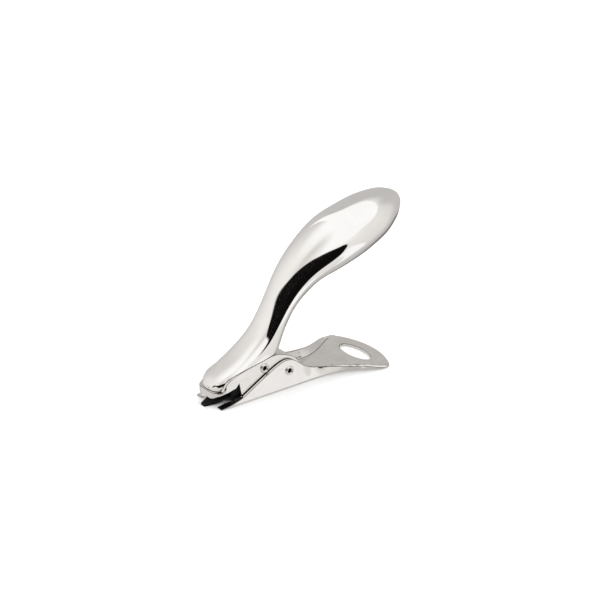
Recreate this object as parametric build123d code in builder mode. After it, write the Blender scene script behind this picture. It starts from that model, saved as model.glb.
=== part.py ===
"""Lever-type staple remover: forked base lever, hinged jaw frame with a lifting tongue, cast handle.

Frame: origin on the resting face, straight below the main pivot. X runs from the fork's tines (-X)
to the tail (+X), Y along the pivot axis, Z up. Millimetres.
"""
from build123d import *
from math import atan2, cos, degrees, hypot, radians, sin
import os

# ---- driving dimensions ----
SHEET = 1.4                 # sheet thickness of the base lever and the jaw frame
BASE_HALF = 11.5            # outer half-width of the base lever's parallel flanges
FRAME_HALF = 9.6            # outer half-width of the jaw frame
TONGUE_HALF = 8.1           # outer half-width over the tongue's ears
EAR_SHEET = 1.6             # thickness of the tongue's ears
BLADE_HALF = 4.2            # half-width of the tongue's blade
BLADE_TIP_HALF = 2.0        # half-width of the tongue's tip
SLOT_HALF = 6.8             # half-width of the slot between the tines
SLOT_END_X = -25.0          # closed end of that slot
BASE_FRONT_X = -41.6        # ends of the tines
CHANNEL_END_X = 9.2         # where the parallel flanges begin to open out
TAIL_END_X = 63.6           # middle of the tail's rear edge
TAIL_SIDE_X = 56.6          # rear corners of the tail
TAIL_HALF = 23.8            # half-width of the tail at those corners
TAIL_CORNER_R = 5.0

PIVOT_Z = 10.2              # height of the main pivot, at X = 0
JAW_X = -14.2               # jaw rivet
JAW_Z = 15.0
RIVET_R = 2.0               # rivet shank radius
RIVET_BORE_R = 1.15         # bore of the tubular rivets
RIVET_HEAD_R = 2.55         # rolled heads
RIVET_HEAD_H = 0.7
RIVET_RIM_H = 0.25          # height of the head's upright rim
RUNNING = 0.05              # radial clearance of a turning fit
SLEEVE_R = 2.5              # outer radius of the spacer tubes
SIDE_GAP = 0.1              # gap at each end of a spacer tube
WASHER_R = 4.0

WIRE_R = 0.45               # return spring
COIL_R = 3.2
COIL_PITCH = 0.95
COIL_START_Y = -7.0
COIL_TURNS = 7.43
SPRING_LEG = 10.5

SCREW_R = 1.5               # frame screws and their split washers
SCREW_HEAD_R = 2.5
SCREW_HEAD_H = 1.6
SCREW_GRIP = 4.2            # thread length inside the handle
LOCK_WASHER_R = 2.4
LOCK_WASHER_H = 0.8
SCREW_X = (-22.5, -9.0)
SEAT_GAP = 0.3              # lock washers stand this far off the web's slightly curved underside

# ---- derived ----
BASE_IN = BASE_HALF - SHEET
FRAME_IN = FRAME_HALF - SHEET
PIVOT = (0, 0, PIVOT_Z)
JAW = (JAW_X, 0, JAW_Z)

# Upper edge of the jaw frame, which is also the seam under the handle: (x, z) from the rear forward
SEAM = [
    (6.8, 13.4), (5.2, 15.2), (2.0, 17.3), (-2.5, 19.2), (-7.0, 20.1), (-14.1, 19.2),
    (-19.4, 18.2), (-24.6, 17.2), (-29.9, 15.9), (-34.2, 14.3), (-36.8, 12.7), (-38.4, 10.5),
    (-39.4, 8.7),
]
LIP_X = -43.7               # front of the lip
LIP_TOP_Z = 8.5
LIP_BOTTOM_Z = 4.9
LIP_CORNER_R = 6.2

NOSE_EDGE_R = 1.6           # rounding round the blunt front of the handle's nose
WEB_END_X = 4.6             # rear end of the jaw frame's web, above the spring's upper legs

# Lower edge of the jaw frame from the lip to the rear: notch for the tongue's ears, then the foot
FRAME_LOWER = [
    (-42.0, 6.4), (-38.7, 7.5), (-36.2, 7.9), (-31.6, 8.9), (-29.8, 10.9), (-28.6, 4.6),
    (-27.0, 3.0), (-24.0, 1.8), (1.4, 1.8), (6.8, 6.4),
]

# Upper edge of the base lever's flange: (x, z) from the tine's end to where the flanges open out
FLANGE_TOP = [
    (-40.0, 0.8), (-34.2, 2.0), (-28.4, 3.8), (-23.5, 6.4), (-14.6, 11.3), (-7.0, 15.0),
    (-3.0, 16.2), (0.6, 16.1), (4.2, 14.4), (CHANNEL_END_X, 10.4),
]

# Opening-out of the flanges: x, half-width of the flat web, half-width and height of the rim
TAIL_SECTIONS = [
    (CHANNEL_END_X, 11.5, 11.5, 10.4), (12.0, 11.5, 11.6, 8.9), (20.0, 11.6, 12.4, 6.8),
    (28.0, 11.9, 14.3, 5.2), (38.0, 14.8, 18.0, 3.7), (46.0, 19.6, 22.0, 2.6),
    (51.0, 22.0, 23.8, 1.3), (58.0, 22.7, 24.6, 1.0), (TAIL_END_X + 1, 23.0, 25.0, 0.8),
]
BEND_R = 1.7                # outer radius of the bend between web and flange
HANG_HOLE = (52.7, 4.8, 11.9)   # centre x, half-length along x, half-width along y

# Handle: centre x, centre z, slope of the spine, half-depth in the plane, half-width
HANDLE_SECTIONS = [
    (-42.0, 9.5, 0, 2.5, 5.9), (-40.5, 9.4, 4, 4.4, 7.6), (-37.0, 10.6, 12, 5.3, 9.2),
    (-33.7, 11.9, 22, 5.1, 9.6), (-28.8, 14.1, 33, 5.2, 9.6), (-20.7, 16.4, 43, 7.3, 9.6),
    (-12.6, 20.5, 51, 9.3, 9.6), (-8.6, 25.3, 55, 8.1, 9.4), (-5.3, 30.9, 55.5, 7.4, 9.0),
    (-1.5, 37.4, 54.5, 7.3, 8.9), (3.8, 45.7, 51, 8.0, 9.3), (10.4, 53.7, 42.5, 9.8, 10.6),
    (18.4, 60.4, 34, 11.2, 12.4), (27.4, 65.2, 27, 13.3, 14.4), (36.1, 69.2, 21.5, 14.4, 15.7),
    (45.4, 72.2, 19, 14.3, 16.1), (54.7, 75.4, 17, 13.4, 15.7), (63.6, 78.4, 16, 11.9, 14.2),
    (70.8, 81.3, 15, 9.2, 11.2), (76.2, 83.3, 15, 6.1, 7.5), (79.0, 84.0, 15, 2.7, 3.2),
]


def side_plane(y=0.0):
    """Sketch plane whose first axis is X and second axis is Z."""
    return Plane(origin=(0, y, 0), x_dir=(1, 0, 0), z_dir=(0, -1, 0))


def across(x):
    """Sketch plane whose first axis is Y and second axis is Z."""
    return Plane(origin=(x, 0, 0), x_dir=(0, 1, 0), z_dir=(1, 0, 0))


def axle_plane(centre, y):
    """Plane square to the pivots, through a pivot's centre line, facing +Y."""
    return Plane(origin=(centre[0], y, centre[2]), x_dir=(1, 0, 0), z_dir=(0, 1, 0))


def seam_height(x):
    """Height of the seam at x, between its points."""
    for (x1, z1), (x0, z0) in zip(SEAM, SEAM[1:]):
        if x0 <= x <= x1:
            return z0 + (z1 - z0) * (x - x0) / (x1 - x0)
    raise ValueError(f"no seam at {x}")


def screw_plane(x):
    """Plane on the underside of the frame's web, facing up into the handle, square to the seam."""
    slope = (seam_height(x + 1) - seam_height(x - 1)) / 2
    length = hypot(1, slope)
    normal = (-slope / length, 0, 1 / length)
    foot = (x, 0, seam_height(x) - SHEET - SEAT_GAP)
    return Plane(origin=foot, x_dir=(normal[2], 0, -normal[0]), z_dir=normal)


def sheet_section(foot, rim, height):
    """Closed outline of the bent sheet: flat web with a flange at each side, 8 points."""
    reach = hypot(rim - foot, height)
    uy = (rim - foot) / reach
    uz = height / reach
    inset = SHEET * (1 - uy) / uz
    inner_foot = (foot - SHEET * uz + inset * uy, SHEET)
    inner_rim = (rim - SHEET * uz, height + SHEET * uy)
    right = [(foot, 0), (rim, height), inner_rim, inner_foot]
    left = [(-y, z) for y, z in reversed(right)]
    return right + left


# ---- base body ----
with BuildPart() as base_lever:
    with BuildSketch(across(BASE_FRONT_X)) as channel:
        Polygon(*sheet_section(BASE_HALF, BASE_HALF, 20), align=None)
        fillet(channel.vertices().filter_by_position(Axis.Y, 0, 0), radius=BEND_R)
    extrude(amount=CHANNEL_END_X - BASE_FRONT_X)
    with BuildSketch(side_plane()):
        with BuildLine():
            Polyline((BASE_FRONT_X, -1), (BASE_FRONT_X, 0.6), FLANGE_TOP[0])
            Spline(*FLANGE_TOP)
            Polyline(FLANGE_TOP[-1], (CHANNEL_END_X, -1), (BASE_FRONT_X, -1))
        make_face()
    extrude(amount=BASE_HALF + 1, both=True, mode=Mode.INTERSECT)
    for x, foot, rim, height in TAIL_SECTIONS:
        with BuildSketch(across(x)) as section:
            Polygon(*sheet_section(foot, rim, height), align=None)
            fillet(section.vertices().filter_by_position(Axis.Y, 0, 0), radius=BEND_R)
    loft()
    with BuildSketch() as outline:
        with BuildLine():
            Polyline((TAIL_SIDE_X, TAIL_HALF), (45, 24.6), (20, 30), (BASE_FRONT_X - 1, 30),
                     (BASE_FRONT_X - 1, -30), (20, -30), (45, -24.6), (TAIL_SIDE_X, -TAIL_HALF))
            ThreePointArc((TAIL_SIDE_X, -TAIL_HALF), (TAIL_END_X, 0), (TAIL_SIDE_X, TAIL_HALF))
        make_face()
        fillet(outline.vertices().group_by(Axis.X)[-1], radius=TAIL_CORNER_R)
    extrude(amount=25, mode=Mode.INTERSECT)
    with BuildSketch():
        with Locations((HANG_HOLE[0], 0)):
            Ellipse(HANG_HOLE[1], HANG_HOLE[2])
        with Locations(((BASE_FRONT_X + SLOT_END_X) / 2 - 2, 0)):
            RectangleRounded(SLOT_END_X - BASE_FRONT_X + 4, 2 * SLOT_HALF, 3)
    extrude(amount=25, both=True, mode=Mode.SUBTRACT)
    with BuildSketch(axle_plane(PIVOT, -BASE_HALF - 1)):
        Circle(RIVET_R)
    extrude(amount=2 * BASE_HALF + 2, mode=Mode.SUBTRACT)
base_lever.part.label = "base_lever"


def tubular_rivet(centre, grip_half, name):
    """Tubular rivet along Y with a rolled head at each end, outside +-grip_half."""
    top = grip_half + RIVET_HEAD_H
    crown = (RIVET_BORE_R + RIVET_HEAD_R) / 2
    with BuildPart() as rivet:
        with BuildSketch(Plane(origin=(centre[0], 0, centre[2]), x_dir=(1, 0, 0), z_dir=(0, 0, 1))):
            with BuildLine():
                Polyline((RIVET_BORE_R, 0), (RIVET_R, 0), (RIVET_R, grip_half), (RIVET_HEAD_R, grip_half),
                         (RIVET_HEAD_R, grip_half + RIVET_RIM_H))
                ThreePointArc((RIVET_HEAD_R, grip_half + RIVET_RIM_H), (crown + 0.2, top),
                              (RIVET_BORE_R, grip_half + 0.1))
                Line((RIVET_BORE_R, grip_half + 0.1), (RIVET_BORE_R, 0))
            make_face()
        revolve(axis=Axis((centre[0], 0, centre[2]), (0, 1, 0)))
        mirror(about=Plane.XZ)
    rivet.part.label = name
    return rivet.part


def spacer_tube(centre, half_length, bore_r, name):
    """Plain tube round a rivet's shank."""
    with BuildPart() as tube:
        with BuildSketch(axle_plane(centre, -half_length)):
            Circle(SLEEVE_R)
            Circle(bore_r, mode=Mode.SUBTRACT)
        extrude(amount=2 * half_length)
    tube.part.label = name
    return tube.part


main_pivot_rivet = tubular_rivet(PIVOT, BASE_HALF, "main_pivot_rivet")
pivot_sleeve = spacer_tube(PIVOT, FRAME_IN - SIDE_GAP, RIVET_R, "pivot_sleeve")

with BuildPart() as pivot_washers:
    for face_y in (-BASE_IN, FRAME_HALF + RUNNING):
        with BuildSketch(axle_plane(PIVOT, face_y)):
            Circle(WASHER_R)
            Circle(RIVET_R, mode=Mode.SUBTRACT)
        extrude(amount=BASE_IN - FRAME_HALF - RUNNING)
pivot_washers.part.label = "pivot_washers"

with BuildPart() as return_spring:
    coil_axis = Plane(origin=(0, COIL_START_Y, PIVOT_Z), x_dir=(0, 0, 1), z_dir=(0, 1, 0))
    turn = Helix(COIL_PITCH, COIL_PITCH * COIL_TURNS, COIL_R, lefthand=True)
    coil = coil_axis.from_local_coords(turn)
    floor_drop = (coil @ 1).Z - SHEET - WIRE_R
    legs = [
        (coil @ 0, (coil @ 0) - (coil % 0) * SPRING_LEG),
        (coil @ 1, (coil @ 1) + (coil % 1) * (floor_drop / -(coil % 1).Z)),
    ]
    with BuildLine() as coil_line:
        add(coil)
    with BuildSketch(Plane(origin=coil @ 0, z_dir=coil % 0)):
        Circle(WIRE_R)
    sweep(path=coil_line.wires()[0], is_frenet=True)
    for start, end in legs:
        with BuildSketch(Plane(origin=start, z_dir=end - start)):
            Circle(WIRE_R)
        extrude(amount=(end - start).length)
return_spring.part.label = "return_spring"

# ---- handle body ----
with BuildPart() as handle_grip:
    for x, z, slope, half_depth, half_width in HANDLE_SECTIONS:
        lean = radians(slope)
        station = Plane(origin=(x, 0, z), x_dir=(0, 1, 0), z_dir=(cos(lean), 0, sin(lean)))
        with BuildSketch(station):
            Ellipse(half_width, half_depth)
    loft()
    fillet(handle_grip.faces().sort_by(Axis.X)[0].edges(), radius=NOSE_EDGE_R)
    with BuildSketch(side_plane()):
        with BuildLine():
            Polyline((-60, LIP_TOP_Z), (-40.2, LIP_TOP_Z), SEAM[-1])
            Spline(*reversed(SEAM))
            Polyline(SEAM[0], (40, 13.6), (40, -20), (-60, -20), (-60, LIP_TOP_Z))
        make_face()
    extrude(amount=30, both=True, mode=Mode.SUBTRACT)
    for x in SCREW_X:
        with BuildSketch(screw_plane(x)):
            Circle(SCREW_R)
        extrude(amount=SHEET + SCREW_GRIP, mode=Mode.SUBTRACT)
handle_grip.part.label = "handle_grip"

with BuildPart() as jaw_frame:
    with BuildSketch() as plan:
        with Locations(((LIP_X + 20) / 2, 0)):
            Rectangle(20 - LIP_X, 2 * FRAME_HALF)
        fillet(plan.vertices().group_by(Axis.X)[0], radius=LIP_CORNER_R)
    extrude(amount=30)
    with BuildSketch(side_plane()):
        with BuildLine():
            Polyline((LIP_X, LIP_BOTTOM_Z), (LIP_X, LIP_TOP_Z), (-40.2, LIP_TOP_Z), SEAM[-1])
            Spline(*reversed(SEAM))
            Polyline(SEAM[0], *reversed(FRAME_LOWER), (LIP_X, LIP_BOTTOM_Z))
        make_face()
    extrude(amount=FRAME_HALF + 1, both=True, mode=Mode.INTERSECT)
    with BuildPart(mode=Mode.SUBTRACT):
        with BuildSketch() as hollow_plan:
            with Locations(((LIP_X + SHEET + 20) / 2, 0)):
                Rectangle(20 - LIP_X - SHEET, 2 * FRAME_IN)
            fillet(hollow_plan.vertices().group_by(Axis.X)[0], radius=LIP_CORNER_R - SHEET)
        extrude(amount=30)
        with BuildSketch(side_plane()):
            with BuildLine():
                lowered = [(x, z - SHEET) for x, z in SEAM]
                Polyline((-60, 7.6), (-40.6, 7.6), lowered[-1])
                Spline(*reversed(lowered))
                Polyline(lowered[0], (40, 12.2), (40, -20), (-60, -20), (-60, 7.6))
            make_face()
        extrude(amount=30, both=True, mode=Mode.INTERSECT)
    with BuildSketch(side_plane()):
        with Locations((WEB_END_X, 0)):
            Rectangle(20, 40, align=(Align.MIN, Align.CENTER))
    extrude(amount=FRAME_IN, both=True, mode=Mode.SUBTRACT)
    for centre, bore in ((PIVOT, RIVET_R + RUNNING), (JAW, RIVET_R)):
        with BuildSketch(axle_plane(centre, -FRAME_HALF - 1)):
            Circle(bore)
        extrude(amount=2 * FRAME_HALF + 2, mode=Mode.SUBTRACT)
    for x in SCREW_X:
        with BuildSketch(screw_plane(x).offset(-1)):
            Circle(SCREW_R)
        extrude(amount=SHEET + 3, mode=Mode.SUBTRACT)
jaw_frame.part.label = "jaw_frame"

with BuildPart() as lifting_tongue:
    with BuildSketch(side_plane()):
        with BuildLine():
            Polyline((-45.8, 0.05), (-45.6, 0.7), (-40, 2.1), (-33, 3.7), (-25, 5.0), (-11, 7.2), (-11, 5.4),
                     (-25, 3.2), (-33, 1.9), (-40, 0.5), (-45.8, 0.05))
        make_face()
    extrude(amount=TONGUE_HALF, both=True)
    with BuildSketch(side_plane()):
        with BuildLine():
            Polyline((-33.6, 2.0), (-33.2, 9.0), (-31.6, 12.9), (-26.5, 14.7), (-17, 16.5), (-10.6, 17.2),
                     (-9.6, 14.0), (-11, 5.4), (-25, 3.2), (-33.6, 2.0))
        make_face()
    extrude(amount=TONGUE_HALF, both=True)
    with BuildSketch(side_plane()):
        with BuildLine():
            Polyline((-60, 3.72), (-33, 3.72), (-25, 5.0), (-11, 7.2), (0, 8.9), (0, 30), (-60, 30), (-60, 3.72))
        make_face()
    extrude(amount=TONGUE_HALF - EAR_SHEET, both=True, mode=Mode.SUBTRACT)
    with BuildSketch():
        with BuildLine():
            Polyline((-45.2, BLADE_TIP_HALF), (-38.4, BLADE_HALF), (-34.6, BLADE_HALF),
                     (-33.2, TONGUE_HALF), (0, TONGUE_HALF), (0, -TONGUE_HALF), (-33.2, -TONGUE_HALF),
                     (-34.6, -BLADE_HALF), (-38.4, -BLADE_HALF), (-45.2, -BLADE_TIP_HALF))
            ThreePointArc((-45.2, -BLADE_TIP_HALF), (-45.8, 0), (-45.2, BLADE_TIP_HALF))
        make_face()
    extrude(amount=30, mode=Mode.INTERSECT)
    with BuildSketch(axle_plane(JAW, -TONGUE_HALF - 1)):
        Circle(RIVET_R)
    extrude(amount=2 * TONGUE_HALF + 2, mode=Mode.SUBTRACT)
lifting_tongue.part.label = "lifting_tongue"

jaw_rivet = tubular_rivet(JAW, FRAME_HALF, "jaw_rivet")
jaw_spacer = spacer_tube(JAW, TONGUE_HALF - EAR_SHEET - SIDE_GAP, RIVET_R, "jaw_spacer")

with BuildPart() as lock_washers:
    for x in SCREW_X:
        with BuildSketch(screw_plane(x)):
            Circle(LOCK_WASHER_R)
            Circle(SCREW_R, mode=Mode.SUBTRACT)
            with Locations((LOCK_WASHER_R, 0)):
                Rectangle(2 * LOCK_WASHER_R - SCREW_R, 0.5, mode=Mode.SUBTRACT)
        extrude(amount=-LOCK_WASHER_H)
lock_washers.part.label = "lock_washers"

with BuildPart() as frame_screws:
    for x in SCREW_X:
        seat = screw_plane(x).offset(-LOCK_WASHER_H)
        with BuildSketch(seat):
            Circle(SCREW_R)
        extrude(amount=LOCK_WASHER_H + SHEET + SCREW_GRIP - 0.3)
        with BuildSketch(seat):
            Circle(SCREW_HEAD_R)
        extrude(amount=-SCREW_HEAD_H)
        with BuildSketch(seat.offset(-SCREW_HEAD_H)):
            Rectangle(3.6, 0.8)
            Rectangle(0.8, 3.6)
        extrude(amount=0.8, mode=Mode.SUBTRACT)
frame_screws.part.label = "frame_screws"

os.makedirs("parts", exist_ok=True)
pieces = [
    base_lever.part, main_pivot_rivet, pivot_sleeve, pivot_washers.part, return_spring.part,
    handle_grip.part, jaw_frame.part, lifting_tongue.part, jaw_rivet, jaw_spacer,
    lock_washers.part, frame_screws.part,
]
for piece in pieces:
    export_step(piece, f"parts/{piece.label}.step")
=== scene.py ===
"""Looks of the lever staple remover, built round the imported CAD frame. Metres, +Z up."""

import math

import bmesh
import bpy
import numpy as np
from mathutils import Matrix, Vector
from mathutils.bvhtree import BVHTree
from mathutils.interpolate import poly_3d_calc


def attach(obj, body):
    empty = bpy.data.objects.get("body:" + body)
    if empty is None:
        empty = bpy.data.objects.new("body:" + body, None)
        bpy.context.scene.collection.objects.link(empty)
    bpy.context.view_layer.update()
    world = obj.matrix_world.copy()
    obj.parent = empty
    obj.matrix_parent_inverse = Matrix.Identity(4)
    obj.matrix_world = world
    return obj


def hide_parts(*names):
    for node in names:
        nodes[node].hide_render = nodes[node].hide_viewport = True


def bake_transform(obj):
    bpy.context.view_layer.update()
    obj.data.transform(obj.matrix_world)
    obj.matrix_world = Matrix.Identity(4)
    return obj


MM = 0.001

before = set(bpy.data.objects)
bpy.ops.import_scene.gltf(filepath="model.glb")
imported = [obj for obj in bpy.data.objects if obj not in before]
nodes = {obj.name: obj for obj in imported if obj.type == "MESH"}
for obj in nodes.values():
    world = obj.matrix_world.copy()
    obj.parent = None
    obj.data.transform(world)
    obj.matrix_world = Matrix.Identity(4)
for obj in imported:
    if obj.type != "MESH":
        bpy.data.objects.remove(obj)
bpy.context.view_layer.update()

# ---------------------------------------------------------------- camera
VIEW_AZIMUTH = -37.5        # degrees, the camera looks along +Y at azimuth 0
VIEW_ELEVATION = 23.2
VIEW_ROLL = 0.15
VIEW_DISTANCE = 0.750
VIEW_TARGET = Vector((0.0157, 0.0, 0.0410))
SENSOR_WIDTH = 36.0
LENS = 88.2


def add_camera():
    """Camera at the photograph's angle."""
    data = bpy.data.cameras.new("view_camera")
    data.sensor_width = SENSOR_WIDTH
    data.lens = LENS
    data.clip_start = 0.01
    data.clip_end = 20.0
    camera = bpy.data.objects.new("view_camera", data)
    bpy.context.scene.collection.objects.link(camera)
    azimuth = math.radians(VIEW_AZIMUTH)
    elevation = math.radians(VIEW_ELEVATION)
    back = Vector((
        math.sin(azimuth) * math.cos(elevation),
        -math.cos(azimuth) * math.cos(elevation),
        math.sin(elevation),
    ))
    camera.location = VIEW_TARGET + back * VIEW_DISTANCE
    turn = (-back).to_track_quat("-Z", "Y").to_matrix().to_4x4()
    roll = turn @ Matrix.Rotation(math.radians(-VIEW_ROLL), 4, "Z")
    camera.rotation_euler = roll.to_euler()
    bpy.context.scene.camera = camera


add_camera()

# ---------------------------------------------------------------- handle surface
# Stations of the handle, the same as the part's: centre x and z (mm), slope of the spine (degrees),
# half-depth and half-width (mm)
HANDLE_SECTIONS = [
    (-42.0, 9.5, 0, 2.5, 5.9), (-40.5, 9.4, 4, 4.4, 7.6), (-37.0, 10.6, 12, 5.3, 9.2),
    (-33.7, 11.9, 22, 5.1, 9.6), (-28.8, 14.1, 33, 5.2, 9.6), (-20.7, 16.4, 43, 7.3, 9.6),
    (-12.6, 20.5, 51, 9.3, 9.6), (-8.6, 25.3, 55, 8.1, 9.4), (-5.3, 30.9, 55.5, 7.4, 9.0),
    (-1.5, 37.4, 54.5, 7.3, 8.9), (3.8, 45.7, 51, 8.0, 9.3), (10.4, 53.7, 42.5, 9.8, 10.6),
    (18.4, 60.4, 34, 11.2, 12.4), (27.4, 65.2, 27, 13.3, 14.4), (36.1, 69.2, 21.5, 14.4, 15.7),
    (45.4, 72.2, 19, 14.3, 16.1), (54.7, 75.4, 17, 13.4, 15.7), (63.6, 78.4, 16, 11.9, 14.2),
    (70.8, 81.3, 15, 9.2, 11.2), (76.2, 83.3, 15, 6.1, 7.5), (79.0, 84.0, 15, 2.7, 3.2),
]

DOME_ANGLE = 40.0           # the two ends close in shallow domes, this many degrees of a sphere
DOME_TIP_ANGLE = 2.0        # where the dome's last ring lies
DOME_HEIGHT = 0.9           # mm
DOME_RINGS = 8
FAIR_BASE = 3.2             # how far, in mm along the spine, the surface is evened out everywhere
FAIR_REACH = 2.6            # and how much further at FAIR_MIDDLE, dying out over FAIR_SPREAD
FAIR_MIDDLE = 16.0
FAIR_SPREAD = 22.0
FAIR_END_REACH = 0.25       # reach left at the two ends, and how fast it grows away from them
FAIR_END_GROWTH = 0.6
SQUARENESS = 1.0            # the foot of the neck is a squarer oval, to meet the frame's flat sides
SQUARE_MIDDLE = 25.0
SQUARE_SPREAD = 17.0


def natural_spline(knots, values):
    """Cubic spline with free ends through values at knots: returns a function of an array."""
    knots = np.asarray(knots, float)
    values = np.asarray(values, float)
    count = len(knots)
    step = np.diff(knots)
    system = np.eye(count)
    right = np.zeros(count)
    for i in range(1, count - 1):
        system[i, i - 1] = step[i - 1]
        system[i, i] = 2 * (step[i - 1] + step[i])
        system[i, i + 1] = step[i]
        rise_after = (values[i + 1] - values[i]) / step[i]
        rise_before = (values[i] - values[i - 1]) / step[i - 1]
        right[i] = 6 * (rise_after - rise_before)
    second = np.linalg.solve(system, right)

    def evaluate(at):
        at = np.asarray(at, float)
        i = np.clip(np.searchsorted(knots, at) - 1, 0, count - 2)
        h = step[i]
        left = (knots[i + 1] - at) / h
        rest = (at - knots[i]) / h
        cubic = ((left**3 - left) * second[i] + (rest**3 - rest) * second[i + 1]) * h * h / 6
        return left * values[i] + rest * values[i + 1] + cubic

    return evaluate


def mesh_object(name, points, faces):
    """New smooth-shaded mesh object from points in metres."""
    mesh = bpy.data.meshes.new(name)
    mesh.from_pydata([tuple(p) for p in points], [], faces)
    mesh.update()
    mesh.shade_smooth()
    piece = bpy.data.objects.new(name, mesh)
    bpy.context.scene.collection.objects.link(piece)
    return piece


def faired(grid, at):
    """Evens the surface out along its spine: most over the neck's foot, hardly at all at the two ends."""
    reach = FAIR_REACH * np.exp(-((at - FAIR_MIDDLE) / FAIR_SPREAD) ** 2) + FAIR_BASE
    reach = np.minimum(reach, FAIR_END_REACH + FAIR_END_GROWTH * np.minimum(at - at[0], at[-1] - at))
    weight = np.exp(-0.5 * ((at[None, :] - at[:, None]) / reach[:, None]) ** 2)
    weight /= weight.sum(axis=1, keepdims=True)
    centred = np.einsum("ij,ij->i", weight, np.broadcast_to(at, weight.shape)) - at
    slope = np.gradient(grid, at, axis=0)
    return np.einsum("ij,jkl->ikl", weight, grid) - centred[:, None, None] * slope


def domed(stations):
    """Stations (x, z, slope, half-depth, half-width, place) with a shallow dome added at each end."""
    rim = math.radians(DOME_ANGLE)
    angle = np.radians(np.linspace(DOME_ANGLE, DOME_TIP_ANGLE, DOME_RINGS + 1)[1:])
    shrink = np.sin(angle) / math.sin(rim)
    for end, outward in ((0, -1), (-1, 1)):
        x, z, slope, depth, width, at = stations
        beyond = (np.cos(angle) - math.cos(rim)) * DOME_HEIGHT
        beyond = outward * beyond / (1 - math.cos(rim))
        tilt = math.radians(slope[end])
        dome = (
            x[end] + beyond * math.cos(tilt), z[end] + beyond * math.sin(tilt),
            np.full(DOME_RINGS, slope[end]), depth[end] * shrink, width[end] * shrink, at[end] + beyond,
        )
        joined = []
        for body, extra in zip(stations, dome):
            joined.append(np.concatenate((extra[::-1], body) if end == 0 else (body, extra)))
        stations = joined
    return stations


def handle_surface(name, rings=300, around=112):
    """Closed surface swept through the handle's stations."""
    table = np.array(HANDLE_SECTIONS, float)
    reach = np.hypot(np.diff(table[:, 0]), np.diff(table[:, 1]))
    along = np.concatenate(([0], np.cumsum(reach)))
    at = np.linspace(0, along[-1], rings)
    swept = [natural_spline(along, table[:, column])(at) for column in range(5)]
    x, z, slope, depth, width, at = domed(swept + [at])
    rings = len(at)
    lean = np.radians(slope)
    turn = np.linspace(0, 2 * np.pi, around, endpoint=False)
    square = 2 + SQUARENESS * np.exp(-((at - SQUARE_MIDDLE) / SQUARE_SPREAD) ** 2)[:, None]
    up = depth[:, None] * np.sign(np.sin(turn)) * np.abs(np.sin(turn)) ** (2 / square)
    grid = np.stack((
        x[:, None] - np.sin(lean)[:, None] * up,
        width[:, None] * np.sign(np.cos(turn)) * np.abs(np.cos(turn)) ** (2 / square),
        z[:, None] + np.cos(lean)[:, None] * up,
    ), axis=2)
    grid = faired(grid, at)
    points = (grid * MM).reshape(-1, 3)
    faces = []
    for i in range(rings - 1):
        for j in range(around):
            a = i * around + j
            b = i * around + (j + 1) % around
            faces.append((a, b, b + around, a + around))
    faces.append(tuple(range(around - 1, -1, -1)))
    faces.append(tuple(range((rings - 1) * around, rings * around)))
    return mesh_object(name, points, faces)


# Seam under the handle, x and z (mm), from the rear forward; SEAM_GAP is the fine dark joint line above it
SEAM = [
    (6.8, 13.4), (5.2, 15.2), (2.0, 17.3), (-2.5, 19.2), (-7.0, 20.1), (-14.1, 19.2),
    (-19.4, 18.2), (-24.6, 17.2), (-29.9, 15.9), (-34.2, 14.3), (-36.8, 12.7), (-38.4, 10.5),
    (-39.4, 8.7),
]
SEAM_GAP = 0.24
LIP_Z = 8.5                 # underside of the nose, ahead of the seam
LIP_X = -40.2               # where the seam has come down to it
SEAM_REAR_Z = 13.6          # height of the seam behind the neck
CUT_FRONT_X = -60           # the cutter reaches past the handle on every side
CUT_REAR_X = 40
CUT_FOOT_Z = -20
CUT_HALF = 30
SAME_FACING = 0.9           # a cut face within this cosine and gap (m) of the uncut surface is part of it
SAME_PLACE = 0.0002


def seam_profile(lift, count=120):
    """Dense points along the seam, raised along its normal, from the rear forward."""
    table = np.array(SEAM, float)
    along = np.concatenate(([0], np.cumsum(np.hypot(*np.diff(table, axis=0).T))))
    at = np.linspace(0, along[-1], count)
    x = natural_spline(along, table[:, 0])(at)
    z = natural_spline(along, table[:, 1])(at)
    dx = np.gradient(x)
    dz = np.gradient(z)
    reach = np.hypot(dx, dz)
    return list(zip(x + lift * dz / reach, z - lift * dx / reach))


def prism(name, outline, half_width):
    """Solid of an outline in the XZ plane (mm), extruded to both sides."""
    count = len(outline)
    points = [(x * MM, y * MM, z * MM) for y in (-half_width, half_width) for x, z in outline]
    faces = [tuple(range(count)), tuple(range(2 * count - 1, count - 1, -1))]
    for i in range(count):
        j = (i + 1) % count
        faces.append((i, i + count, j + count, j))
    piece = mesh_object(name, points, faces)
    shell = bmesh.new()
    shell.from_mesh(piece.data)
    bmesh.ops.recalc_face_normals(shell, faces=shell.faces)
    shell.to_mesh(piece.data)
    shell.free()
    return piece


def evaluated_mesh(piece):
    """Mesh of a piece with its modifiers applied."""
    graph = bpy.context.evaluated_depsgraph_get()
    return bpy.data.meshes.new_from_object(piece.evaluated_get(graph), depsgraph=graph)


def keep_normals(mesh, smooth):
    """Gives a cut mesh the smooth normals of the uncut one, wherever the cut has left its surface."""
    tree = BVHTree.FromPolygons([v.co for v in smooth.vertices], [p.vertices for p in smooth.polygons])
    normals = [Vector((0, 0, 0))] * len(mesh.loops)
    for face in mesh.polygons:
        for loop in face.loop_indices:
            point = mesh.vertices[mesh.loops[loop].vertex_index].co
            spot, flat, index, gap = tree.find_nearest(point)
            near = smooth.polygons[index].vertices
            if face.normal.dot(flat) > SAME_FACING and gap < SAME_PLACE and len(near) == 4:
                weights = poly_3d_calc([smooth.vertices[v].co for v in near], spot)
                blend = sum((smooth.vertices[v].normal * w for v, w in zip(near, weights)), Vector())
                normals[loop] = blend.normalized()
            else:
                normals[loop] = face.normal.copy()
    mesh.normals_split_custom_set([tuple(n) for n in normals])


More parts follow.
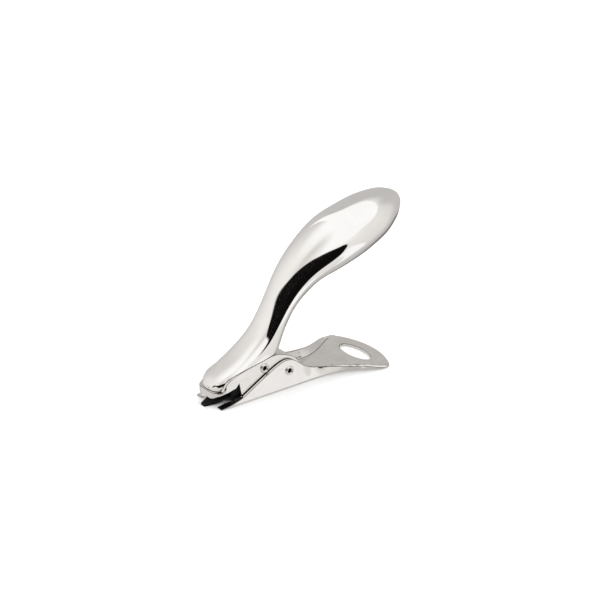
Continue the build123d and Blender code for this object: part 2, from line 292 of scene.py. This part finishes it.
def make_handle():
    """Polished casting cut along the seam, keeping the uncut surface's smooth normals."""
    whole = handle_surface("handle_casting")
    smooth = whole.data.copy()
    lip = LIP_Z + SEAM_GAP
    outline = [
        (CUT_FRONT_X, lip), (CUT_FRONT_X, CUT_FOOT_Z), (CUT_REAR_X, CUT_FOOT_Z),
        (CUT_REAR_X, SEAM_REAR_Z + SEAM_GAP), *seam_profile(SEAM_GAP), (LIP_X, lip),
    ]
    cutter = prism("handle_cutter", outline, CUT_HALF)
    cut = whole.modifiers.new("seam", "BOOLEAN")
    cut.operation = "DIFFERENCE"
    cut.object = cutter
    cut.solver = "EXACT"
    whole.data = evaluated_mesh(whole)
    whole.modifiers.clear()
    bpy.data.objects.remove(cutter)
    whole.data.shade_smooth()
    keep_normals(whole.data, smooth)
    return whole



WIRE_R = 0.45               # torsion spring round the main pivot, mm
COIL_R = 3.2
COIL_PITCH = 0.95
COIL_TURNS = 7.43
COIL_START_Y = -7.0
COIL_CENTRE_Z = 10.2
LEG_LENGTH = 10.5
WEB_TOP_Z = 1.4             # top of the base's web, which the lower leg rests on
COIL_POINTS = 420
LEG_POINTS = 12
WIRE_SIDES = 14


def make_spring():
    """Coil with one leg under the frame's web and the other down on the base's web."""
    turn = np.linspace(0, 2 * math.pi * COIL_TURNS, COIL_POINTS)
    lean = COIL_PITCH / (2 * math.pi * COIL_R)
    coil = np.stack((
        -COIL_R * np.sin(turn), COIL_START_Y + COIL_PITCH * turn / (2 * math.pi),
        COIL_CENTRE_Z + COIL_R * np.cos(turn),
    ), axis=1)
    upper = coil[0] - np.array([-1.0, lean, 0.0]) * LEG_LENGTH
    last = turn[-1]
    heading = np.array([-math.cos(last), lean, -math.sin(last)])
    lower = coil[-1] + heading * (coil[-1][2] - WEB_TOP_Z - WIRE_R) / -heading[2]
    path = np.concatenate((
        np.linspace(upper, coil[0], LEG_POINTS)[:-1], coil,
        np.linspace(coil[-1], lower, LEG_POINTS)[1:],
    ))
    along = np.gradient(path, axis=0)
    along /= np.linalg.norm(along, axis=1, keepdims=True)
    side = np.cross(along, (0, 1, 0))
    side /= np.linalg.norm(side, axis=1, keepdims=True)
    other = np.cross(along, side)
    turn_wire = np.linspace(0, 2 * np.pi, WIRE_SIDES, endpoint=False)[None, :, None]
    rings = path[:, None] + WIRE_R * (np.cos(turn_wire) * side[:, None] + np.sin(turn_wire) * other[:, None])
    count = len(path) * WIRE_SIDES
    faces = [tuple(range(WIRE_SIDES)), tuple(range(count - 1, count - 1 - WIRE_SIDES, -1))]
    for i in range(len(path) - 1):
        for j in range(WIRE_SIDES):
            a = i * WIRE_SIDES + j
            b = i * WIRE_SIDES + (j + 1) % WIRE_SIDES
            faces.append((a, a + WIRE_SIDES, b + WIRE_SIDES, b))
    return mesh_object("torsion_spring", (rings * MM).reshape(-1, 3), faces)


torsion_spring = make_spring()
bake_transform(torsion_spring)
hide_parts("return_spring")

handle = make_handle()
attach(handle, "handle")
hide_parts("handle_grip")


# ---------------------------------------------------------------- materials
class Graph:
    """Short way to write a material's node graph."""

    def __init__(self, tree):
        self.tree = tree

    def node(self, kind, **settings):
        """New node with its settings."""
        made = self.tree.nodes.new(kind)
        for key, value in settings.items():
            setattr(made, key, value)
        return made

    def link(self, source, target):
        """Wire from an output to an input."""
        self.tree.links.new(source, target)

    def put(self, socket, value):
        """Plain number, or the output of another node."""
        if isinstance(value, (int, float, tuple)):
            socket.default_value = value
        else:
            self.link(value, socket)

    def math(self, operation, a, b=0.0):
        """Arithmetic on one or two values."""
        made = self.node("ShaderNodeMath", operation=operation)
        self.put(made.inputs[0], a)
        self.put(made.inputs[1], b)
        return made.outputs[0]

    def step(self, value, low, high, out_low=0.0, out_high=1.0, smooth=True):
        """Step from out_low at low to out_high at high, smooth or straight."""
        kind = "SMOOTHSTEP" if smooth else "LINEAR"
        made = self.node("ShaderNodeMapRange", interpolation_type=kind)
        self.put(made.inputs["Value"], value)
        made.inputs["From Min"].default_value = low
        made.inputs["From Max"].default_value = high
        made.inputs["To Min"].default_value = out_low
        made.inputs["To Max"].default_value = out_high
        return made.outputs["Result"]

    def product(self, first, *others):
        """Values multiplied together."""
        for other in others:
            first = self.math("MULTIPLY", first, other)
        return first

    def mix(self, factor, a, b):
        """Colour mix."""
        made = self.node("ShaderNodeMix", data_type="RGBA")
        self.put(made.inputs["Factor"], factor)
        self.put(made.inputs["A"], a)
        self.put(made.inputs["B"], b)
        return made.outputs["Result"]

    def curve(self, bearing, knots, floor=-60.0, top=60.0):
        """Value smooth through the (bearing, value) knots, which lie between floor and top."""
        first, last = knots[0][0], knots[-1][0]
        made = self.node("ShaderNodeFloatCurve")
        self.put(made.inputs["Value"], self.step(bearing, first, last, smooth=False))
        line = made.mapping.curves[0]
        for place, value in knots[1:-1]:
            line.points.new((place - first) / (last - first), (value - floor) / (top - floor))
        line.points[0].location = (0.0, (knots[0][1] - floor) / (top - floor))
        line.points[len(line.points) - 1].location = (1.0, (knots[-1][1] - floor) / (top - floor))
        made.mapping.update()
        return self.step(made.outputs["Value"], 0.0, 1.0, floor, top, smooth=False)

    def noise(self, scale, detail=3.0, roughness=0.5, stretch=(1, 1, 1)):
        """Noise in the part's own coordinates (metres), scale per metre."""
        place = self.node("ShaderNodeTexCoord")
        squeeze = self.node("ShaderNodeMapping")
        squeeze.inputs["Scale"].default_value = stretch
        self.link(place.outputs["Object"], squeeze.inputs["Vector"])
        made = self.node("ShaderNodeTexNoise")
        self.link(squeeze.outputs["Vector"], made.inputs["Vector"])
        made.inputs["Scale"].default_value = scale
        made.inputs["Detail"].default_value = detail
        made.inputs["Roughness"].default_value = roughness
        return made.outputs["Fac"]


def finish_material(name, dark, light, metallic, rough, patch, grain, bump, specular=0.5):
    """Surface with blotchy tone and roughness, and a fine grain that also stands up as a bump.

    patch and grain are (scale, stretch), rough is the (lowest, highest) roughness and bump is
    (strength, metres).
    """
    material = bpy.data.materials.new(name)
    material.use_nodes = True
    graph = Graph(material.node_tree)
    bsdf = material.node_tree.nodes["Principled BSDF"]
    blotch = graph.noise(patch[0], 4.0, 0.55, patch[1])
    fine = graph.noise(grain[0], 5.0, 0.65, grain[1])
    both = graph.math("ADD", graph.math("MULTIPLY", blotch, 0.6), graph.math("MULTIPLY", fine, 0.4))
    tone = graph.step(both, 0.32, 0.68)
    graph.link(graph.mix(tone, (*dark, 1), (*light, 1)), bsdf.inputs["Base Color"])
    graph.link(graph.step(both, 0.35, 0.7, rough[0], rough[1]), bsdf.inputs["Roughness"])
    bsdf.inputs["Metallic"].default_value = metallic
    bsdf.inputs["Specular IOR Level"].default_value = specular
    relief = graph.node("ShaderNodeBump")
    relief.inputs["Strength"].default_value = bump[0]
    relief.inputs["Distance"].default_value = bump[1]
    graph.link(fine, relief.inputs["Height"])
    graph.link(relief.outputs["Normal"], bsdf.inputs["Normal"])
    return material


polish = finish_material(
    "polished_casting", (0.905, 0.890, 0.872), (0.945, 0.932, 0.915), 1.0, (0.025, 0.06),
    (90, (1, 1, 1)), (1400, (1, 1, 1)), (0.03, 0.00002),
)
chrome = finish_material(
    "plated_sheet", (0.79, 0.768, 0.742), (0.885, 0.863, 0.838), 1.0, (0.10, 0.19),
    (120, (1, 1, 1)), (900, (0.12, 1, 1)), (0.08, 0.00003),
)
chrome_frame = finish_material(
    "plated_frame", (0.74, 0.718, 0.692), (0.835, 0.813, 0.785), 1.0, (0.09, 0.17),
    (150, (1, 1, 1)), (1100, (0.2, 1, 1)), (0.07, 0.00003),
)
rivet = finish_material(
    "plated_rivet", (0.70, 0.685, 0.66), (0.86, 0.845, 0.82), 1.0, (0.12, 0.24),
    (600, (1, 1, 1)), (2200, (1, 0.2, 1)), (0.12, 0.00004),
)
black = finish_material(
    "black_oxide", (0.0022, 0.002, 0.0022), (0.006, 0.0055, 0.006), 0.0, (0.28, 0.46),
    (260, (1, 1, 1)), (1700, (0.5, 1, 1)), (0.2, 0.00004), 0.1,
)
bare = finish_material(
    "bare_steel", (0.42, 0.41, 0.40), (0.56, 0.55, 0.53), 1.0, (0.22, 0.38),
    (300, (1, 1, 1)), (1800, (1, 0.15, 1)), (0.15, 0.00004),
)
spring = finish_material(
    "spring_steel", (0.30, 0.295, 0.29), (0.50, 0.49, 0.48), 1.0, (0.18, 0.32),
    (500, (1, 1, 1)), (2600, (1, 1, 1)), (0.15, 0.00003),
)
screw = finish_material(
    "zinc_screw", (0.50, 0.49, 0.46), (0.66, 0.65, 0.61), 1.0, (0.2, 0.34),
    (420, (1, 1, 1)), (2400, (1, 1, 0.3)), (0.14, 0.00003),
)

FINISH = {
    "base_lever": chrome, "jaw_frame": chrome_frame, "main_pivot_rivet": rivet, "jaw_rivet": rivet,
    "handle_grip": polish, "lifting_tongue": black, "return_spring": spring, "pivot_sleeve": bare,
    "pivot_washers": bare, "jaw_spacer": bare, "lock_washers": spring, "frame_screws": screw,
}
for name, node in nodes.items():
    node.data.materials.clear()
    node.data.materials.append(FINISH[name])
handle.data.materials.append(polish)
torsion_spring.data.materials.append(spring)


WELD_REACH = 0.000002       # metres
FLAT_ANGLE = 0.4            # degrees; faces closer than this to one plane are joined
SHARP_ANGLE = 35.0          # degrees; only edges sharper than this are broken


def break_edges(node, width, edge=None):
    """Small rounding on a piece's sharp edges, so that they catch the light as the real cut edges do; a
    given edge material colours that rounding, as painted shade along the edges.
    """
    join = node.modifiers.new("joined_faces", "WELD")
    join.merge_threshold = WELD_REACH
    merge = node.modifiers.new("flat_faces", "DECIMATE")
    merge.decimate_type = "DISSOLVE"
    merge.angle_limit = math.radians(FLAT_ANGLE)
    bevel = node.modifiers.new("broken_edges", "BEVEL")
    bevel.width = width * MM
    bevel.segments = 2
    bevel.limit_method = "ANGLE"
    bevel.angle_limit = math.radians(SHARP_ANGLE)
    bevel.harden_normals = True
    bevel.use_clamp_overlap = False
    # The rounding takes the dark edge material: painted shade.
    if edge is not None:
        node.data.materials.append(edge)
        bevel.material = len(node.data.materials) - 1


# Dark colour laid on the rounded edges of the base and the frame: painted shade along their sharp edges.
painted_edge_shade = finish_material(
    "edge_painted_shade", (0.12, 0.11, 0.10), (0.26, 0.245, 0.23), 1.0, (0.25, 0.4),
    (400, (1, 1, 1)), (1800, (1, 1, 1)), (0.1, 0.00003),
)
break_edges(nodes["base_lever"], 0.22, painted_edge_shade)
break_edges(nodes["jaw_frame"], 0.2, painted_edge_shade)
break_edges(nodes["lifting_tongue"], 0.18)

# ---------------------------------------------------------------- stage
floor = mesh_object("floor", [(-6, -6, 0), (6, -6, 0), (6, 6, 0), (-6, 6, 0)], [(0, 1, 2, 3)])
floor_paint = bpy.data.materials.new("pale_floor")
floor_paint.use_nodes = True
floor_inputs = floor_paint.node_tree.nodes["Principled BSDF"].inputs
floor_inputs["Base Color"].default_value = (0.92, 0.92, 0.92, 1)
floor_inputs["Roughness"].default_value = 0.95
floor_inputs["Specular IOR Level"].default_value = 0.0
floor.data.materials.append(floor_paint)
floor.visible_glossy = False

# The studio is a function of direction, arranged so that the polished handle mirrors bright and dark areas
# where the photograph shows them from its own angle. What it mirrors from other angles is invented.
# Bearings and heights are in degrees, seen from the object. A pair is a soft edge: nothing at the first
# number, full at the second.
SOFT_BOX = 1.04             # level of the overhead light
SOFT_BOX_EDGE = (47, 75)
# Dark cloth in front of the object, as (bearing, height): its upper and lower edges
CLOTH_TOP = [
    (-108, 20), (-88, 24), (-66, 27), (-40, 31), (-26, 28), (-12, 19), (5, 6), (15, 0), (22, -20), (28, -44),
]
CLOTH_FOOT = [
    (-108, 12), (-80, 13), (-65, 6), (-50, -4), (-38, -10), (-20, -10), (-10, -17), (10, -32), (28, -46),
]
CLOTH_TOP_EDGE = (-1.5, 1.5)
CLOTH_FOOT_EDGE = (-4, 4)
CLOTH_LEFT = (-106, -100)
CLOTH_RIGHT = (25, 22)
CLOTH_TONE = (0.005, 0.004, 0.004, 1)
# Level of the room round the object, by bearing
ROOM = [
    (-180, 0.66), (-150, 0.81), (-110, 0.91), (-80, 0.91), (-60, 0.83), (-45, 0.71), (-30, 0.82),
    (-15, 0.95), (5, 1.0), (20, 0.93), (30, 0.85), (60, 0.75), (75, 0.59), (90, 0.56), (150, 0.56),
    (180, 0.66),
]
ROOM_BRIGHTEST = 1.2        # top of the room's level curve
ROOM_TINT = (1.0, 0.982, 0.962)
FRONT_MIDDLE = -60.0        # dimmer lower part of the room, on the camera's side
FRONT_HEIGHT = (8, -4)
FRONT_SPREAD = (95, 60)
FRONT_TONE = (0.75, 0.735, 0.72, 1)
PANEL_AXIS = (-0.8423, -0.2227, 0.4908)  # the bright panel's edge lies on a circle round this axis
PANEL_PLACE = 0.0442
PANEL_SOFTNESS = 0.03
PANEL_BEARING = (-24, -8)
PANEL_HEIGHT = (4, 20)
PANEL_TONE = (1.04, 1.04, 1.04, 1)
SHADE_FOOT = (-50, -36)     # dark area low down, to the right and behind
SHADE_TOP = (-16, -26)
SHADE_LEFT = (84, 100)
SHADE_RIGHT = (160, 140)
SHADE_STRENGTH = 0.7
SHADE_TONE = (0.10, 0.09, 0.08, 1)
STRIP_START = (28.0, -25.0)  # low bright strip: where its middle begins, and its slope from there
STRIP_SLOPE = -0.62
STRIP_EDGE = (8, 5)
STRIP_LEFT = (24, 28)
STRIP_RIGHT = (64, 56)
STRIP_TONE = (1.02, 1.02, 1.02, 1)
SURROUND = (1.45, 1.45, 1.45, 1)  # even light that everything but a mirror reflection sees


def studio():
    """White studio: overhead light, bright panel and dark cloth on the camera's side, grey room behind."""
    world = bpy.data.worlds.new("studio")
    bpy.context.scene.world = world
    world.use_nodes = True
    g = Graph(world.node_tree)
    direction = g.node("ShaderNodeTexCoord").outputs["Generated"]
    parts = g.node("ShaderNodeSeparateXYZ")
    g.link(direction, parts.inputs[0])
    x, y, z = parts.outputs
    height = g.math("DEGREES", g.math("ARCSINE", z))
    bearing = g.math("DEGREES", g.math("ARCTAN2", x, g.math("MULTIPLY", y, -1.0)))

    tone = g.node("ShaderNodeVectorMath", operation="SCALE")
    tone.inputs[0].default_value = ROOM_TINT
    g.link(g.curve(bearing, ROOM, 0.0, ROOM_BRIGHTEST), tone.inputs["Scale"])
    off_front = g.math("ABSOLUTE", g.math("SUBTRACT", bearing, FRONT_MIDDLE))
    front = g.product(g.step(height, *FRONT_HEIGHT), g.step(off_front, *FRONT_SPREAD))
    level = g.mix(front, tone.outputs["Vector"], FRONT_TONE)

    along = g.node("ShaderNodeVectorMath", operation="DOT_PRODUCT")
    g.link(direction, along.inputs[0])
    along.inputs[1].default_value = PANEL_AXIS
    side = g.step(along.outputs["Value"], PANEL_PLACE - PANEL_SOFTNESS, PANEL_PLACE + PANEL_SOFTNESS)
    panel = g.product(side, g.step(bearing, *PANEL_BEARING), g.step(height, *PANEL_HEIGHT))
    level = g.mix(panel, level, PANEL_TONE)
    level = g.mix(g.step(height, *SOFT_BOX_EDGE), level, (SOFT_BOX, SOFT_BOX, SOFT_BOX, 1))

    over = g.math("SUBTRACT", g.curve(bearing, CLOTH_TOP), height)
    under = g.math("SUBTRACT", height, g.curve(bearing, CLOTH_FOOT))
    cloth = g.product(
        g.step(over, *CLOTH_TOP_EDGE), g.step(under, *CLOTH_FOOT_EDGE),
        g.step(bearing, *CLOTH_LEFT), g.step(bearing, *CLOTH_RIGHT),
    )
    level = g.mix(cloth, level, CLOTH_TONE)

    shade = g.product(
        g.product(g.step(height, *SHADE_FOOT), g.step(height, *SHADE_TOP)),
        g.product(g.step(bearing, *SHADE_LEFT), g.step(bearing, *SHADE_RIGHT)), SHADE_STRENGTH,
    )
    level = g.mix(shade, level, SHADE_TONE)

    start_bearing, start_height = STRIP_START
    fall = g.math("MULTIPLY", g.math("SUBTRACT", bearing, start_bearing), STRIP_SLOPE)
    off_strip = g.math("ABSOLUTE", g.math("SUBTRACT", height, g.math("ADD", fall, start_height)))
    sides = g.product(g.step(bearing, *STRIP_LEFT), g.step(bearing, *STRIP_RIGHT))
    strip = g.product(g.step(off_strip, *STRIP_EDGE), sides)
    level = g.mix(strip, level, STRIP_TONE)

    mirrored = g.node("ShaderNodeLightPath").outputs["Is Glossy Ray"]
    level = g.mix(mirrored, SURROUND, level)
    g.link(level, world.node_tree.nodes["Background"].inputs["Color"])


studio()
bpy.context.scene.view_settings.view_transform = "Standard"
